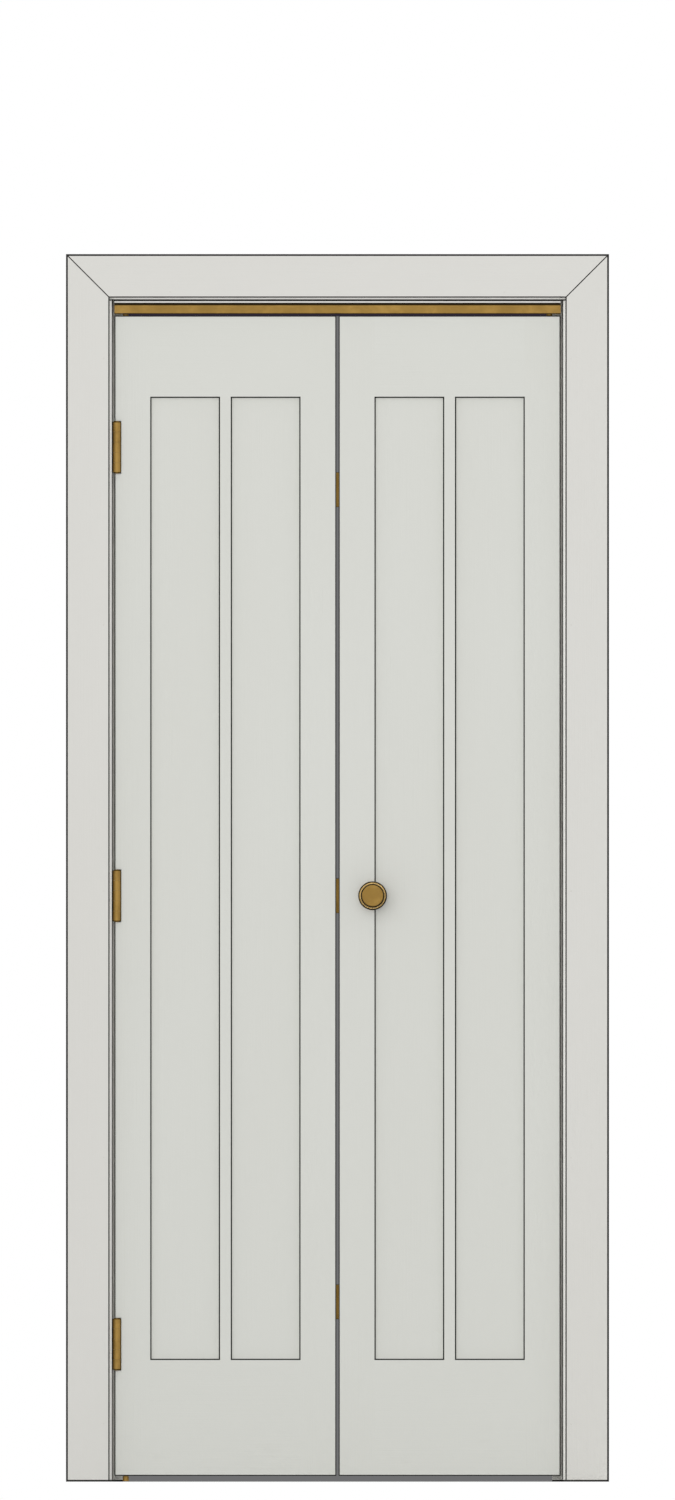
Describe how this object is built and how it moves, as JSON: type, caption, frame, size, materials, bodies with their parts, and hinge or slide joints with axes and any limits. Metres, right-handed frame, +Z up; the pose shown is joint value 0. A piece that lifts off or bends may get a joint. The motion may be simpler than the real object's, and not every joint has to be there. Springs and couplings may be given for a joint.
{
  "type": "bifold closet door",
  "caption": "Hinged bifold closet door in a mitred cased jamb: flat-panelled painted leaves fold together under an overhead track with a sprung guide pin.",
  "frame": {"origin": "on the floor, at the centre of the whole object's box", "axes": "+X to the right along the wall, -Y out to the room, +Z up"},
  "size_m": [0.936, 0.153, 2.116],
  "materials": {
    "door_paint": "satin paint, faint brush marks",
    "casing_paint": "satin paint, a little warmer than the leaves",
    "jamb_paint": "satin paint, paler than the casing",
    "bare_wood": "bare beech",
    "aged_brass": "satin aged brass",
    "plated_steel": "zinc plated",
    "bumper_rubber": "matt"
  },
  "bodies": {
    "frame": {"butt_hinge_bottom_jamb_plate": "aged_brass", "butt_hinge_jamb_screws": "aged_brass", "butt_hinge_middle_jamb_plate": "aged_brass", "butt_hinge_pins": "aged_brass", "butt_hinge_top_jamb_plate": "aged_brass", "casing_head": "casing_paint", "casing_left": "casing_paint", "casing_right": "casing_paint", "frame_corner_screws": "plated_steel", "head_jamb": "jamb_paint", "jamb_left": "jamb_paint", "jamb_right": "jamb_paint", "stop_head": "jamb_paint", "stop_left": "jamb_paint", "stop_right": "jamb_paint", "track": "aged_brass", "track_bumper": "bumper_rubber", "track_packer": "jamb_paint", "track_screws": "plated_steel", "trim_nails": "plated_steel"},
    "leaf_1": {"anti_lift_pin": "aged_brass", "butt_hinge_bottom_leaf_plate": "aged_brass", "butt_hinge_leaf_screws": "aged_brass", "butt_hinge_middle_leaf_plate": "aged_brass", "butt_hinge_top_leaf_plate": "aged_brass", "fold_hinge_bottom_leaf_1_plate": "aged_brass", "fold_hinge_leaf_1_screws": "aged_brass", "fold_hinge_middle_leaf_1_plate": "aged_brass", "fold_hinge_pins": "aged_brass", "fold_hinge_top_leaf_1_plate": "aged_brass", "glide_foot": "aged_brass", "glide_nut": "aged_brass", "glide_socket": "plated_steel", "leaf_1_bottom_rail": "door_paint", "leaf_1_dowels": "bare_wood", "leaf_1_inner_panel": "door_paint", "leaf_1_inner_stile": "door_paint", "leaf_1_mullion": "door_paint", "leaf_1_outer_panel": "door_paint", "leaf_1_outer_stile": "door_paint", "leaf_1_top_rail": "door_paint"},
    "leaf_2": {"fold_hinge_bottom_leaf_2_plate": "aged_brass", "fold_hinge_leaf_2_screws": "aged_brass", "fold_hinge_middle_leaf_2_plate": "aged_brass", "fold_hinge_top_leaf_2_plate": "aged_brass", "guide_bushing": "plated_steel", "guide_spring": "plated_steel", "knob": "aged_brass", "knob_rose": "aged_brass", "knob_screw": "aged_brass", "leaf_2_bottom_rail": "door_paint", "leaf_2_dowels": "bare_wood", "leaf_2_inner_panel": "door_paint", "leaf_2_inner_stile": "door_paint", "leaf_2_mullion": "door_paint", "leaf_2_outer_panel": "door_paint", "leaf_2_outer_stile": "door_paint", "leaf_2_top_rail": "door_paint"},
    "guide_pin": {"guide_pin": "aged_brass"},
    "guide_cap": {"guide_cap": "aged_brass"}
  },
  "joints": [
    {"name": "leaf_1_swing", "type": "hinge", "parent": "frame", "child": "leaf_1", "pos_m": [-0.38035, -0.0345, 1.01], "axis": [0, 0, -1], "range_deg": [0, 70]},
    {"name": "leaf_2_fold", "type": "hinge", "parent": "leaf_1", "child": "leaf_2", "pos_m": [0, 0.0005, 1.01], "axis": [0, 0, 1], "range_deg": [0, 147]},
    {"name": "guide_pin_press", "type": "slide", "parent": "leaf_2", "child": "guide_pin", "axis": [0, 0, -1], "range_m": [0, 0.013], "stiffness_N_per_m": 600, "springref_m": -0.005, "deforming": ["guide_spring"]},
    {"name": "guide_cap_spin", "type": "hinge", "parent": "guide_pin", "child": "guide_cap", "pos_m": [0.365, -0.025, 2.018], "axis": [0, 0, 1], "continuous": true}
  ],
  "couplings": [
    {"joint": "leaf_2_fold", "follows": "leaf_1_swing", "ratio": 2.0925}
  ]
}
